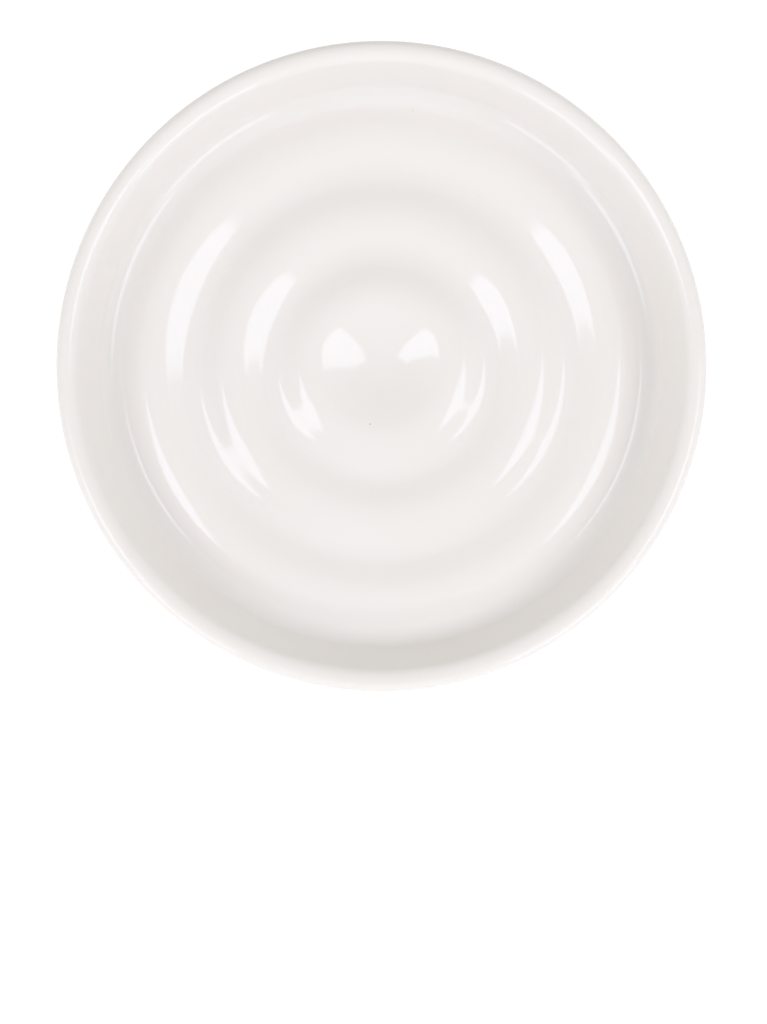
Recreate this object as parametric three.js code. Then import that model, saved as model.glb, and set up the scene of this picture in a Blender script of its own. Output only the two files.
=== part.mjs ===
// Porcelain tasting bowl with three raised ripple rings on its floor.
// It is formed, glazed and fired as one piece, so its layers are the fired porcelain, which stands on
// a bare foot ring, the clear glaze over its inside, lip and outside, and the glaze in its foot well.
// Millimetres, +Z up. The origin is the centre of the face that the bowl stands on.

import * as THREE from 'three';

// Driving dimensions, over the glaze.
const rimDiameter = 120;
const rimHeight = 25;
const glazeThickness = 0.3;
const turnSteps = 48;

// Lip, seen in section: a wide round on the inside and a tighter one on the outside.
const lipOutsideRound = 1.6;
const lipInsideRound = 2.7;

// Floor: a shallow dimple, then the ripple rings, whose crests sink a little towards the wall.
const dimpleRound = 17.9;
const dimpleDepth = 2.9;
const rippleCount = 3;
const firstCrestRadius = 13.1;
const ripplePitch = 14.74;
const troughOffset = 7.52;
const rippleDepth = 2;
const crestRound = 8.4;
const troughRound = 5.7;
const lastCrestHeight = 14.7;
const crestFall = 0.3;

// Channel between the last ripple and the wall, and the rounder fall of the last crest into it.
const lastCrestRound = 7.2;
const channelRadius = 49.2;
const channelRound = 3.4;
const channelDepth = 2;

// Outside of the base, the bare foot ring and the well inside it.
const standingRadius = 48.9;
const baseRound = 6.7;
const footWidth = 2.9;
const footInsideRound = 1;
const wellHeight = 7.2;
const wellSideDraft = 20;
const wellCornerRound = 3;
const outsideGlazeLine = -148;
const insideGlazeLine = -222;

const radians = THREE.MathUtils.degToRad;

// A round is one circle of the section. Walking outwards along the section, a convex round (side 1)
// lies on the right, inside the porcelain, and a concave one (side -1) lies on the left, in the air.
function convex(radius, topHeight, round, steps) {
  return { center: [radius, topHeight - round], round, side: 1, steps };
}

function concave(radius, bottomHeight, round, steps) {
  return { center: [radius, bottomHeight + round], round, side: -1, steps };
}

// Direction of the straight line that leaves round a and meets round b, touching both.
function tangentAngle(a, b, before) {
  const across = b.center[0] - a.center[0];
  const up = b.center[1] - a.center[1];
  const offset = b.side * b.round - a.side * a.round;
  const ratio = THREE.MathUtils.clamp(offset / Math.hypot(across, up), -1, 1);
  let angle = Math.atan2(up, across) + Math.asin(ratio);
  while (a.side * (angle - before) > 1e-6) angle -= a.side * 2 * Math.PI;
  while (a.side * (before - angle) > 2 * Math.PI - 1e-6) angle += a.side * 2 * Math.PI;
  return angle;
}

// Section line pulled taut past its rounds, like a belt past pulleys. The line starts and ends with the
// given directions, and grow moves it out into the air by that much.
function belt(rounds, startAngle, endAngle, grow = 0) {
  const points = [];
  let arriving = startAngle;
  rounds.forEach((item, index) => {
    const next = rounds[index + 1];
    const leaving = next ? tangentAngle(item, next, arriving) : endAngle;
    const reach = item.round * item.side + grow;
    for (let step = 0; step <= item.steps; step += 1) {
      const angle = THREE.MathUtils.lerp(arriving, leaving, step / item.steps);
      const radius = item.center[0] - reach * Math.sin(angle);
      const height = item.center[1] + reach * Math.cos(angle);
      points.push(new THREE.Vector2(radius, height));
    }
    arriving = leaving;
  });
  return points;
}

// The same section line carried in to the axis at the height of its given end.
function fromAxis(points) {
  return [new THREE.Vector2(0, points[0].y), ...points];
}

function toAxis(points) {
  return [...points, new THREE.Vector2(0, points[points.length - 1].y)];
}

// Rounds of the fired porcelain, each glaze thickness inside the finished size.
const bodyRimRadius = rimDiameter / 2 - lipOutsideRound;
const bodyRimHeight = rimHeight - glazeThickness;

function floorRounds() {
  const firstCrestHeight = lastCrestHeight + (rippleCount - 1) * crestFall - glazeThickness;
  const dimpleBottom = firstCrestHeight - dimpleDepth;
  const rounds = [concave(0, dimpleBottom, dimpleRound + glazeThickness, 3)];
  for (let ring = 0; ring < rippleCount; ring += 1) {
    const radius = firstCrestRadius + ring * ripplePitch;
    const crest = firstCrestHeight - ring * crestFall;
    if (ring < rippleCount - 1) {
      rounds.push(convex(radius, crest, crestRound - glazeThickness, 3));
      rounds.push(concave(radius + troughOffset, crest - rippleDepth, troughRound + glazeThickness, 3));
    } else {
      rounds.push(convex(radius, crest, crestRound - glazeThickness, 2));
      rounds.push(convex(radius, crest, lastCrestRound - glazeThickness, 2));
    }
  }
  const channelBottom = lastCrestHeight - channelDepth - glazeThickness;
  rounds.push(concave(channelRadius, channelBottom, channelRound + glazeThickness, 5));
  return rounds;
}

const lipInside = convex(bodyRimRadius, bodyRimHeight, lipInsideRound - glazeThickness, 4);
const lipOutside = convex(bodyRimRadius, bodyRimHeight, lipOutsideRound - glazeThickness, 5);
const base = { center: [standingRadius, baseRound], round: baseRound, side: 1, steps: 5 };
const footInside = {
  center: [standingRadius - footWidth, footInsideRound],
  round: footInsideRound,
  side: 1,
  steps: 2,
};

// The corner of the well is placed so that the well's side has its draft.
function wellCorner() {
  const draft = radians(wellSideDraft);
  const height = wellHeight - wellCornerRound;
  const climb = height - footInside.center[1];
  const reach = (wellCornerRound + footInsideRound) / Math.cos(draft);
  const radius = footInside.center[0] - climb * Math.tan(draft) - reach;
  return { center: [radius, height], round: wellCornerRound, side: -1, steps: 3 };
}

const glazedRounds = [...floorRounds(), lipInside, lipOutside, base];
const bareRounds = [{ ...base, steps: 2 }, footInside];
const wellRounds = [footInside, wellCorner()];

const glazedLine = fromAxis(belt(glazedRounds, 0, radians(outsideGlazeLine)));
const bareLine = belt(bareRounds, radians(outsideGlazeLine), radians(insideGlazeLine));
const wellLine = toAxis(belt(wellRounds, radians(insideGlazeLine), radians(-180)));

const glazeLine = fromAxis(belt(glazedRounds, 0, radians(outsideGlazeLine), glazeThickness));
const wellGlazeLine = toAxis(belt(wellRounds, radians(insideGlazeLine), radians(-180), glazeThickness));

// Each section is turned about the bowl's upright axis.
function turned(name, section, material) {
  const outline = section.filter((point, index) => {
    return index === 0 || point.distanceTo(section[index - 1]) > 1e-4;
  });
  const geometry = new THREE.LatheGeometry(outline.reverse(), turnSteps);
  geometry.rotateX(Math.PI / 2);
  const mesh = new THREE.Mesh(geometry, material);
  mesh.name = name;
  return mesh;
}

const firedPorcelain = new THREE.MeshStandardMaterial({ color: 0xe9e4dc, roughness: 0.75, metalness: 0 });
const clearGlaze = new THREE.MeshStandardMaterial({ color: 0xf1eeea, roughness: 0.06, metalness: 0 });
const wellGlaze = new THREE.MeshStandardMaterial({ color: 0xefece7, roughness: 0.12, metalness: 0 });

function porcelainBody() {
  return turned('porcelain_body', [...glazedLine, ...bareLine, ...wellLine], firedPorcelain);
}

function glazeCoat() {
  return turned('glaze_coat', [...glazeLine, ...[...glazedLine].reverse()], clearGlaze);
}

function footWellGlaze() {
  return turned('foot_well_glaze', [...[...wellLine].reverse(), ...wellGlazeLine], wellGlaze);
}

const tastingBowl = new THREE.Group();
tastingBowl.name = 'tasting_bowl';
tastingBowl.add(porcelainBody(), glazeCoat(), footWellGlaze());

export default tastingBowl;
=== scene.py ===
import math

import bpy
import numpy as np
from mathutils import Matrix, Vector


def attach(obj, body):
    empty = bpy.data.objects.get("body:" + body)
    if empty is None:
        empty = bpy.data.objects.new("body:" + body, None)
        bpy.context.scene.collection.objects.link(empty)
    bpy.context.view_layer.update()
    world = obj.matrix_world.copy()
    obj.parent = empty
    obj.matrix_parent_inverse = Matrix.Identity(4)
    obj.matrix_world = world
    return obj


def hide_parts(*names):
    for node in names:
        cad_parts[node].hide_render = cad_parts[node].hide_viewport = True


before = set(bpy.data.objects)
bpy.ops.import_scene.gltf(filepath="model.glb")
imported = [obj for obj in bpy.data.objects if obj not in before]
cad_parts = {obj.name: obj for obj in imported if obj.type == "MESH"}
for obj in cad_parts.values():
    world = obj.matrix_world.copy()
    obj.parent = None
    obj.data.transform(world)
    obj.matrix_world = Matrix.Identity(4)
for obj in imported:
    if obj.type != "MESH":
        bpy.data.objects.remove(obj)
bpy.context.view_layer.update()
print("frame loaded:", ", ".join(sorted(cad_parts)))

mm = 0.001
scene = bpy.context.scene


# Section of the bowl

bowlSection = {                 # millimetres and degrees
    "rimDiameter": 120,
    "rimHeight": 25,
    "glazeThickness": 0.3,
    "lipOutsideRound": 1.6,
    "lipInsideRound": 2.7,
    "dimpleRound": 17.9,
    "dimpleDepth": 2.9,
    "rippleCount": 3,
    "firstCrestRadius": 13.1,
    "ripplePitch": 14.74,
    "troughOffset": 7.52,       # from a crest out to the next trough
    "rippleDepth": 2,
    "crestRound": 8.4,
    "troughRound": 5.7,
    "lastCrestHeight": 14.7,
    "lastCrestRound": 7.2,      # of the last crest's outer side
    "crestFall": 0.3,           # from each crest to the next one out
    "channelRadius": 49.2,
    "channelRound": 3.4,
    "channelDepth": 2,          # below the last crest
    "standingRadius": 48.9,     # outer edge of the flat bare ring
    "baseRound": 6.7,
    "footWidth": 2.9,           # of the flat bare ring
    "footInsideRound": 1,
    "wellHeight": 7.2,
    "wellSideDraft": 20,
    "wellCornerRound": 3,
    "outsideGlazeLine": -148,   # direction of the section where the outer glaze ends, on the base round
    "insideGlazeLine": -222,    # direction where the well's glaze starts, on the foot's inside round
    "glazeEdgeWidth": 0.9,      # the glaze thins to nothing over this width at its edge
}

surfaceGrid = {
    "turns": 256,
    "longestStep": 0.72,        # mm along a straight part of the section
    "bendStep": 4.5,            # degrees that the section may bend from one row to the next
    "roundStep": 0.25,          # degrees between the points of a round before the rows are spread
    "hiddenCoarseness": 5,      # rows are this much further apart where glaze and clay touch
    "samePoint": 1e-5,          # mm, points nearer than this are one
}


def convex(radius, top, rounding):
    # A round of the section with its centre inside the porcelain, as the radius and height of its
    # centre, the round itself and its side.
    return (radius, top - rounding, rounding, 1)


def concave(radius, bottom, rounding):
    # A round of the section with its centre in the air.
    return (radius, bottom + rounding, rounding, -1)


def tangentAngle(first, second, before):
    # The line that touches both rounds runs at the angle between their centres, plus the arcsine of
    # the difference of their signed rounds over the distance of their centres.
    radius, height, rounding, side = first
    nextRadius, nextHeight, nextRounding, nextSide = second
    across, up = nextRadius - radius, nextHeight - height
    offset = nextSide * nextRounding - side * rounding
    angle = math.atan2(up, across) + math.asin(max(-1, min(1, offset / math.hypot(across, up))))
    # The line turns clockwise past a convex round and the other way past a concave one.
    turn, slack = 2 * math.pi, 1e-6
    while side * (angle - before) > slack:
        angle -= side * turn
    while side * (before - angle) > turn - slack:
        angle += side * turn
    return angle


def pulledLine(rounds, startAngle, endAngle):
    # The section line pulled taut past its rounds, as rows of radius, height and direction.
    # A point of a round is its centre plus its signed round times (-sin, cos) of the line's direction.
    rows = []
    arriving = startAngle
    roundStep = math.radians(surfaceGrid["roundStep"])
    for index, (radius, height, rounding, side) in enumerate(rounds):
        last = index == len(rounds) - 1
        leaving = endAngle if last else tangentAngle(rounds[index], rounds[index + 1], arriving)
        count = max(2, int(abs(leaving - arriving) / roundStep))
        angle = np.linspace(arriving, leaving, count)
        reach = rounding * side
        rows.append(np.stack([radius - reach * np.sin(angle), height + reach * np.cos(angle), angle], 1))
        arriving = leaving
    return np.concatenate(rows)


def stepLengths(line):
    # Distance from each point of a line to the next.
    return np.hypot(*np.diff(line[:, :2], axis=0).T)


def evenRows(line, coarseness=1):
    # Rows are spread so that each covers the same sum of length over the longest step and bend over
    # the bend step.
    step = stepLengths(line) / surfaceGrid["longestStep"]
    bend = np.abs(np.degrees(np.diff(line[:, 2]))) / surfaceGrid["bendStep"]
    travelled = np.concatenate([[0], np.cumsum(step + bend)])
    count = int(math.ceil(travelled[-1] / coarseness)) + 1
    wanted = np.linspace(0, travelled[-1], count)
    return np.stack([np.interp(wanted, travelled, line[:, k]) for k in range(3)], 1)


def lifted(line, thickness):
    # The line moved out into the air, square to its own direction.
    moved = line.copy()
    moved[:, 0] -= thickness * np.sin(line[:, 2])
    moved[:, 1] += thickness * np.cos(line[:, 2])
    return moved


def glazeDepth(line, fadeStart=False, fadeEnd=False):
    # Full thickness, then a quarter ellipse down to nothing where the glaze ends: the thickness times
    # the square root of 1 minus the square of how far into the edge's width a point lies.
    s = bowlSection
    length = np.concatenate([[0], np.cumsum(stepLengths(line))])
    toEdge = np.full(len(line), np.inf)
    if fadeStart:
        toEdge = np.minimum(toEdge, length)
    if fadeEnd:
        toEdge = np.minimum(toEdge, length[-1] - length)
    share = np.clip(1 - toEdge / s["glazeEdgeWidth"], 0, 1)
    return s["glazeThickness"] * np.sqrt(1 - share ** 2)


def floorRounds():
    # The clay's rounds under the glaze: the dimple, the rings with the troughs between them, the
    # last ring's outer side and the channel.
    s = bowlSection
    glaze = s["glazeThickness"]
    crest = s["lastCrestHeight"] + (s["rippleCount"] - 1) * s["crestFall"] - glaze
    rounds = [concave(0, crest - s["dimpleDepth"], s["dimpleRound"] + glaze)]
    for ring in range(s["rippleCount"]):
        radius = s["firstCrestRadius"] + ring * s["ripplePitch"]
        top = crest - ring * s["crestFall"]
        rounds.append(convex(radius, top, s["crestRound"] - glaze))
        if ring < s["rippleCount"] - 1:
            trough = radius + s["troughOffset"]
            rounds.append(concave(trough, top - s["rippleDepth"], s["troughRound"] + glaze))
    rounds.append(convex(radius, top, s["lastCrestRound"] - glaze))
    channel = s["lastCrestHeight"] - s["channelDepth"] - glaze
    rounds.append(concave(s["channelRadius"], channel, s["channelRound"] + glaze))
    return rounds


def sectionLines():
    # The clay's surface in three lines: under the glaze, then bare, then under the well's glaze.
    s = bowlSection
    glaze = s["glazeThickness"]
    rimRadius = s["rimDiameter"] / 2 - s["lipOutsideRound"]
    rimTop = s["rimHeight"] - glaze
    lipInside = convex(rimRadius, rimTop, s["lipInsideRound"] - glaze)
    lipOutside = convex(rimRadius, rimTop, s["lipOutsideRound"] - glaze)
    base = (s["standingRadius"], s["baseRound"], s["baseRound"], 1)
    footInside = (s["standingRadius"] - s["footWidth"], s["footInsideRound"], s["footInsideRound"], 1)

    # The well's corner is set so that its side leans by the draft.
    draft = math.radians(s["wellSideDraft"])
    cornerHeight = s["wellHeight"] - s["wellCornerRound"]
    climb = cornerHeight - footInside[1]
    reach = (s["wellCornerRound"] + s["footInsideRound"]) / math.cos(draft)
    cornerRadius = footInside[0] - climb * math.tan(draft) - reach
    wellCorner = (cornerRadius, cornerHeight, s["wellCornerRound"], -1)

    outside, inside = math.radians(s["outsideGlazeLine"]), math.radians(s["insideGlazeLine"])
    glazed = pulledLine([*floorRounds(), lipInside, lipOutside, base], 0, outside)
    bare = pulledLine([base, footInside], outside, inside)
    well = pulledLine([footInside, wellCorner], inside, -math.pi)
    wellCentre = np.array([[0, well[-1, 1], -math.pi]])
    return glazed, bare, np.concatenate([well, wellCentre])


def turnedShell(name, outline):
    # The outline is a line from the axis out and back to the axis. It is turned about the axis:
    # x = radius cos(turn), y = radius sin(turn), z = height, with one vertex at each end.
    turns = surfaceGrid["turns"]
    radius, height = outline[:, 0] * mm, outline[:, 1] * mm
    ring = np.linspace(0, 2 * np.pi, turns, endpoint=False)
    inner = slice(1, -1)
    x = np.outer(radius[inner], np.cos(ring))
    y = np.outer(radius[inner], np.sin(ring))
    z = np.repeat(height[inner, None], turns, axis=1)
    body = np.stack([x, y, z], -1).reshape(-1, 3)
    poles = np.array([[0, 0, height[0]], [0, 0, height[-1]]])
    points = np.concatenate([body, poles])

    rows = len(outline) - 2
    row, column = np.meshgrid(np.arange(rows - 1), np.arange(turns), indexing="ij")
    nextColumn = (column + 1) % turns
    quads = np.stack([
        row * turns + column,
        (row + 1) * turns + column,
        (row + 1) * turns + nextColumn,
        row * turns + nextColumn,
    ], -1).reshape(-1, 4)
    around = np.arange(turns)
    after = (around + 1) % turns
    lastRow = (rows - 1) * turns
    firstPole, lastPole = rows * turns, rows * turns + 1
    firstFan = np.stack([np.full(turns, firstPole), around, after], -1)
    lastFan = np.stack([np.full(turns, lastPole), lastRow + after, lastRow + around], -1)

    mesh = bpy.data.meshes.new(name)
    mesh.from_pydata(points, [], [*quads.tolist(), *firstFan.tolist(), *lastFan.tolist()])
    mesh.polygons.foreach_set("use_smooth", np.ones(len(mesh.polygons), bool))
    mesh.update()
    piece = bpy.data.objects.new(name, mesh)
    scene.collection.objects.link(piece)
    print(name, "has", 2 * len(quads) + 2 * turns, "triangles")
    return piece


def distinct(outline):
    # Drops a point that lies on the one before it, and sets both ends on the axis.
    moves = stepLengths(outline) > surfaceGrid["samePoint"]
    kept = outline[np.concatenate([[True], moves])]
    kept[0, 0] = kept[-1, 0] = 0
    return kept


def buildPieces():
    glazed, bare, well = sectionLines()
    coarse = surfaceGrid["hiddenCoarseness"]

    # Where glaze and clay touch, both pieces take the same rows.
    under = evenRows(glazed, coarse)
    wellUnder = evenRows(well, coarse)
    body = distinct(np.concatenate([under, evenRows(bare), wellUnder]))

    overRows = evenRows(glazed)
    over = lifted(overRows, glazeDepth(overRows, fadeEnd=True))
    coat = distinct(np.concatenate([over, under[::-1]]))

    wellRows = evenRows(well)
    wellOver = lifted(wellRows, glazeDepth(wellRows, fadeStart=True))
    wellCoat = distinct(np.concatenate([wellUnder[::-1], wellOver]))
    pieces = (
        turnedShell("porcelainBody", body),
        turnedShell("glazeCoat", coat),
        turnedShell("footWellGlaze", wellCoat),
    )
    return pieces, over


(porcelainBody, glazeCoat, footWellGlaze), glazeSurface = buildPieces()


# Finishes

class Wire:
    # One value on a material's node sheet. Arithmetic on it adds Math nodes.
    def __init__(self, sheet, socket=None):
        self.sheet, self.socket = sheet, socket

    def node(self, kind, settings=None, inputs=None, output=0):
        # Makes a node, sets its settings first, then links or sets its inputs.
        made = self.sheet.nodes.new(kind)
        for key, value in (settings or {}).items():
            setattr(made, key, value)
        for key, value in (inputs or {}).items():
            if isinstance(value, Wire):
                self.sheet.links.new(value.socket, made.inputs[key])
            else:
                made.inputs[key].default_value = value
        return Wire(self.sheet, made.outputs[output])

    def maths(self, operation, first, second):
        return self.node("ShaderNodeMath", {"operation": operation}, {0: first, 1: second})

    def __add__(self, other):
        return self.maths("ADD", self, other)

    def __radd__(self, other):
        return self.maths("ADD", other, self)

    def __sub__(self, other):
        return self.maths("SUBTRACT", self, other)

    def __rsub__(self, other):
        return self.maths("SUBTRACT", other, self)

    def __mul__(self, other):
        return self.maths("MULTIPLY", self, other)

    def __rmul__(self, other):
        return self.maths("MULTIPLY", other, self)

    def ramp(self, low, high):
        # Smooth step from 0 at low to 1 at high.
        return self.node("ShaderNodeMapRange", {"interpolation_type": "SMOOTHSTEP"},
                         {"Value": self, "From Min": low, "From Max": high})

    def noise(self, places, width, detail, roughness):
        # Fractal noise with features about as wide as width, in metres.
        return self.node("ShaderNodeTexNoise", {}, {
            "Vector": places, "Scale": 1 / width, "Detail": detail, "Roughness": roughness})

    def blend(self, share, first, second):
        return self.node("ShaderNodeMix", {"data_type": "RGBA"},
                         {"Factor": share, "A": first, "B": second}, "Result")

    def distance(self, places, spot):
        return self.node("ShaderNodeVectorMath", {"operation": "DISTANCE"},
                         {0: places, 1: spot}, "Value")

    def bump(self, strength, distance, height):
        return self.node("ShaderNodeBump", {}, {
            "Strength": strength, "Distance": distance, "Height": height}, "Normal")


surfaceIor = 1.5            # of glaze and porcelain alike


def newFinish(name):
    # A Principled surface, and the wires that start what varies over it.
    material = bpy.data.materials.new(name)
    material.use_nodes = True
    sheet = material.node_tree
    surface = sheet.nodes["Principled BSDF"]
    surface.inputs["IOR"].default_value = surfaceIor
    start = Wire(sheet)
    places = start.node("ShaderNodeTexCoord", {}, {}, "Object")
    return material, surface, start, places


def connect(surface, links):
    for key, wire in links.items():
        wire.sheet.links.new(wire.socket, surface.inputs[key])


# A ramp is the two levels of a noise between which it takes hold.
glazeFinish = {
    "colour": (0.876, 0.846, 0.820, 1),
    "warmColour": (0.872, 0.840, 0.808, 1),
    "cloudWidth": 26 * mm,
    "cloudRamp": (0.35, 0.7),
    "roughness": 0.085,
    "roughnessGain": 0.02,      # added where the fine noise is high
    "roughnessWidth": 3 * mm,
    "roughnessRamp": (0.3, 0.8),
    "rippleHeight": 0.004 * mm,
    "rippleWidth": 9 * mm,
    "specks": [(-2.1, -10.7, 0.16, 0.75), (5.8, 47.7, 0.14, 0.4)],      # x, y, half width in mm, strength
    "speckColour": (0.46, 0.40, 0.33, 1),
    "speckEdge": (0.4, 1.4),    # shares of its half width between which a speck fades out
}


def clearGlaze():
    g = glazeFinish
    material, surface, start, places = newFinish("clearGlaze")
    cloud = start.noise(places, g["cloudWidth"], 3, 0.55)
    colour = start.blend(cloud.ramp(*g["cloudRamp"]), g["colour"], g["warmColour"])

    # A speck lies on the glaze's surface between the axis and the rim.
    floorPart = glazeSurface[:glazeSurface[:, 0].argmax()]
    fadeStart, fadeEnd = g["speckEdge"]
    for x, y, size, strength in g["specks"]:
        z = np.interp(math.hypot(x, y), floorPart[:, 0], floorPart[:, 1])
        away = start.distance(places, (x * mm, y * mm, z * mm))
        speck = (1 - away.ramp(size * mm * fadeStart, size * mm * fadeEnd)) * strength
        colour = start.blend(speck, colour, g["speckColour"])

    fine = start.noise(places, g["roughnessWidth"], 2, 0.5)
    roughness = g["roughness"] + fine.ramp(*g["roughnessRamp"]) * g["roughnessGain"]
    wave = start.noise(places, g["rippleWidth"], 1, 0.4)
    bump = start.bump(1.0, g["rippleHeight"], wave)
    connect(surface, {"Base Color": colour, "Roughness": roughness, "Normal": bump})
    return material


bareFinish = {
    "colour": (0.80, 0.77, 0.73, 1),
    "dustColour": (0.71, 0.68, 0.64, 1),
    "dustWidth": 5 * mm,
    "dustRamp": (0.4, 0.75),
    "dustShare": 0.6,
    "grainWidth": 0.22 * mm,
    "grainHeight": 0.03 * mm,
    "grainStrength": 0.8,
    "pitWidth": 0.6 * mm,
    "pitRamp": (0.66, 0.74),
    "pitShare": 0.35,           # of the dust's colour in a pit
    "pitDepth": 0.6,            # in grain heights
    "roughness": 0.62,
    "roughnessGain": 0.2,       # added where the grain is high
}


def barePorcelain():
    b = bareFinish
    material, surface, start, places = newFinish("barePorcelain")
    cloud = start.noise(places, b["dustWidth"], 4, 0.6)
    grain = start.noise(places, b["grainWidth"], 3, 0.6)
    dust = cloud.ramp(*b["dustRamp"]) * b["dustShare"]
    colour = start.blend(dust, b["colour"], b["dustColour"])
    pits = start.noise(places, b["pitWidth"], 1, 0.5).ramp(*b["pitRamp"])
    colour = start.blend(pits * b["pitShare"], colour, b["dustColour"])
    roughness = b["roughness"] + grain * b["roughnessGain"]
    bump = start.bump(b["grainStrength"], b["grainHeight"], grain - pits * b["pitDepth"])
    connect(surface, {"Base Color": colour, "Roughness": roughness, "Normal": bump})
    return material


wellFinish = {
    "colour": (0.862, 0.846, 0.82, 1),
    "warmColour": (0.852, 0.83, 0.798, 1),
    "cloudWidth": 18 * mm,
    "cloudRamp": (0.35, 0.7),
    "roughness": 0.09,
    "roughnessGain": 0.06,      # added where the fine noise is high
    "roughnessWidth": 4 * mm,
    "rippleHeight": 0.01 * mm,
    "rippleWidth": 6 * mm,
    "pinholeWidth": 0.9 * mm,
    "pinholeRamp": (0.72, 0.76),
    "pinholeShare": 0.25,       # of the dust's colour in a pinhole
}


def wellGlaze():
    w = wellFinish
    material, surface, start, places = newFinish("wellGlaze")
    cloud = start.noise(places, w["cloudWidth"], 3, 0.55)
    colour = start.blend(cloud.ramp(*w["cloudRamp"]), w["colour"], w["warmColour"])
    pinholes = start.noise(places, w["pinholeWidth"], 1, 0.5).ramp(*w["pinholeRamp"])
    colour = start.blend(pinholes * w["pinholeShare"], colour, bareFinish["dustColour"])
    fine = start.noise(places, w["roughnessWidth"], 2, 0.5)
    roughness = w["roughness"] + fine * w["roughnessGain"]
    wave = start.noise(places, w["rippleWidth"], 2, 0.45)
    bump = start.bump(1.0, w["rippleHeight"], wave - pinholes)
    connect(surface, {"Base Color": colour, "Roughness": roughness, "Normal": bump})
    return material


def dress(piece, node, material):
    piece.data.materials.append(material)
    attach(piece, "root")
    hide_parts(node)


dress(porcelainBody, "porcelain_body", barePorcelain())
dress(glazeCoat, "glaze_coat", clearGlaze())
dress(footWellGlaze, "foot_well_glaze", wellGlaze())
print("three finishes set")


# Light, floor and background

lightPlan = {
    "boxColour": (0.97, 0.99, 1.24),
    "fillColour": (0.988, 0.997, 1.015),
    "skyColour": (0.463, 0.458, 0.427, 1),      # what lights the bowl from all round, a little warm
    "whiteColour": (1, 1, 1, 1),
    "floorAlbedo": 0.92,
    "whiteShare": 0.85,         # share of plain white in the floor as the camera and gloss see it
    "floorReach": 3.0,
    "floorGap": 0.05 * mm,      # the floor lies this much under the foot ring, so that they stay apart
}

# Each lamp: azimuth, zenith and roll in degrees, distance, width and height in metres, radiance.
# The boxes light the bowl and show in its glaze, the fills only light it, and the windows only show.
boxes = {
    "leftBox": (210.7, 37.25, 26.9, 0.8, 0.210, 0.378, 2.5),
    "rightBox": (335.9, 34.0, 50.7, 0.8, 0.351, 0.268, 2.25),
}
fills = {
    "rightFill": (0, 45, 0, 0.8, 0.4, 0.4, 3.1),
    "leftFill": (180, 45, 0, 0.8, 0.4, 0.4, 1.9),
    "frontFill": (250, 45, 0, 0.8, 0.4, 0.4, 1.3),
    "lowRightFill": (0, 75, 0, 0.8, 0.4, 0.2, 1.7),
    "lowLeftFill": (180, 75, 0, 0.8, 0.4, 0.2, 2.5),
    "lowFrontFill": (270, 84, 0, 0.8, 0.4, 0.2, 4.3),
    "lowBackFill": (90, 82, 0, 0.8, 0.4, 0.2, 0.4),
}
windows = {
    "leftWindow": (232, 66, 0, 0.445, 0.157, 0.185, 1.8),
    "rightWindow": (308, 66, 0, 0.445, 0.210, 0.185, 1.8),
}


def softbox(name, plan, colour, lights, shows):
    # A lamp facing the middle of the foot. Its watts are its radiance times its area times pi.
    azimuth, zenith, roll = (math.radians(value) for value in plan[:3])
    distance, width, height, radiance = plan[3:]
    lean = math.sin(zenith)
    outward = Vector((lean * math.cos(azimuth), lean * math.sin(azimuth), math.cos(zenith)))
    side = Vector((-math.sin(azimuth), math.cos(azimuth), 0))
    across = side * math.cos(roll) + outward.cross(side) * math.sin(roll)
    lamp = bpy.data.lights.new(name, "AREA")
    lamp.shape = "RECTANGLE"
    lamp.size, lamp.size_y = width, height
    lamp.energy = radiance * width * height * math.pi
    lamp.color = lightPlan[colour]
    holder = bpy.data.objects.new(name, lamp)
    turned = Matrix((across, outward.cross(across), outward)).transposed().to_4x4()
    holder.matrix_world = Matrix.Translation(outward * distance) @ turned
    holder.visible_camera = False
    holder.visible_diffuse = lights
    holder.visible_glossy = shows
    scene.collection.objects.link(holder)


for group, colour, lights, shows in (
    (boxes, "boxColour", True, True),
    (fills, "fillColour", True, False),
    (windows, "boxColour", False, True),
):
    for name, plan in group.items():
        softbox(name, plan, colour, lights, shows)


def showsWhite(start):
    # 1 for rays that see the background: from the camera, off gloss and through glass.
    path = start.node("ShaderNodeLightPath").socket.node
    seen = [Wire(start.sheet, path.outputs[key])
            for key in ("Is Camera Ray", "Is Glossy Ray", "Is Transmission Ray")]
    return start.maths("MINIMUM", seen[0] + seen[1] + seen[2], 1)


def whiteWorld():
    world = bpy.data.worlds.new("whiteWorld")
    scene.world = world
    world.use_nodes = True
    sheet = world.node_tree
    start = Wire(sheet)
    background = sheet.nodes["Background"]
    background.inputs["Strength"].default_value = 1
    colour = start.blend(showsWhite(start), lightPlan["skyColour"], lightPlan["whiteColour"])
    sheet.links.new(colour.socket, background.inputs["Color"])


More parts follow.
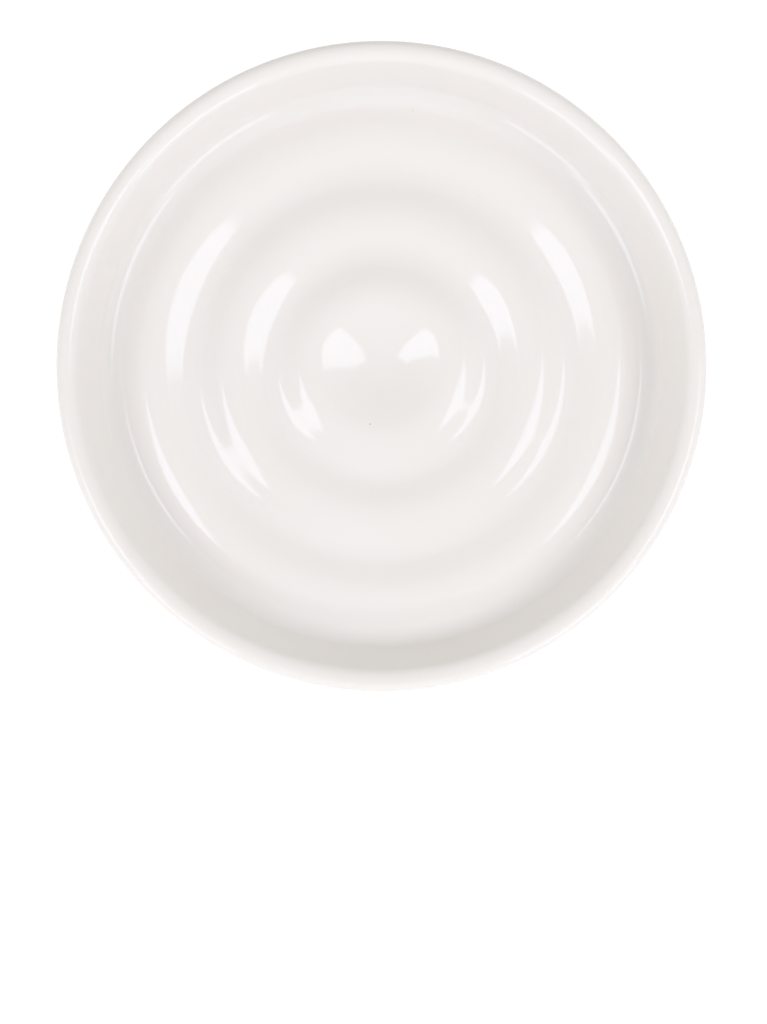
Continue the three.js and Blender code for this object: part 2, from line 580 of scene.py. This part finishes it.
def paleFloor():
    reach, height = lightPlan["floorReach"], -lightPlan["floorGap"]
    corners = [
        (-reach, -reach, height),
        (reach, -reach, height),
        (reach, reach, height),
        (-reach, reach, height),
    ]
    mesh = bpy.data.meshes.new("paleFloor")
    mesh.from_pydata(corners, [], [(0, 1, 2, 3)])
    floor = bpy.data.objects.new("paleFloor", mesh)
    scene.collection.objects.link(floor)
    material = bpy.data.materials.new("paleFloor")
    material.use_nodes = True
    sheet = material.node_tree
    surface = sheet.nodes["Principled BSDF"]
    albedo = lightPlan["floorAlbedo"]
    surface.inputs["Base Color"].default_value = (albedo, albedo, albedo, 1)
    surface.inputs["Roughness"].default_value = 1
    surface.inputs["Specular IOR Level"].default_value = 0
    # The white is as strong as brings the floor to 1 where the sky alone lights it:
    # share * strength + (1 - share) * albedo * sky = 1.
    share = lightPlan["whiteShare"]
    strength = (1 - (1 - share) * albedo * lightPlan["skyColour"][2]) / share
    start = Wire(sheet)
    white = start.node("ShaderNodeEmission", {}, {
        "Color": lightPlan["whiteColour"], "Strength": strength})
    mixed = start.node("ShaderNodeMixShader", {}, {
        0: showsWhite(start) * share, 1: Wire(sheet, surface.outputs["BSDF"]), 2: white})
    sheet.links.new(mixed.socket, sheet.nodes["Material Output"].inputs["Surface"])
    mesh.materials.append(material)


whiteWorld()
paleFloor()
print("lamps, floor and white background set")


# Camera

cameraPlan = {
    "place": (0, 0, 1.025),
    "aim": (0.00037, -0.0268, 0.025),
    "pictureUp": (0, 1, 0),
    "focalPixels": 5425,
    "pictureHeight": 1024,
    "sensorHeight": 36,
    "clip": (0.01, 100),
}


def topCamera():
    # Looks down with the bowl's +Y up in the picture. The lens is the focal length in pixels times
    # the sensor's height over the picture's.
    place, aim = Vector(cameraPlan["place"]), Vector(cameraPlan["aim"])
    back = (place - aim).normalized()
    right = Vector(cameraPlan["pictureUp"]).cross(back).normalized()
    up = back.cross(right)
    data = bpy.data.cameras.new("topCamera")
    data.sensor_fit = "VERTICAL"
    data.sensor_height = cameraPlan["sensorHeight"]
    data.lens = cameraPlan["focalPixels"] * cameraPlan["sensorHeight"] / cameraPlan["pictureHeight"]
    data.clip_start, data.clip_end = cameraPlan["clip"]
    camera = bpy.data.objects.new("topCamera", data)
    turned = Matrix((right, up, back)).transposed().to_4x4()
    camera.matrix_world = Matrix.Translation(place) @ turned
    scene.collection.objects.link(camera)
    scene.camera = camera


topCamera()
scene.view_settings.view_transform = "Standard"
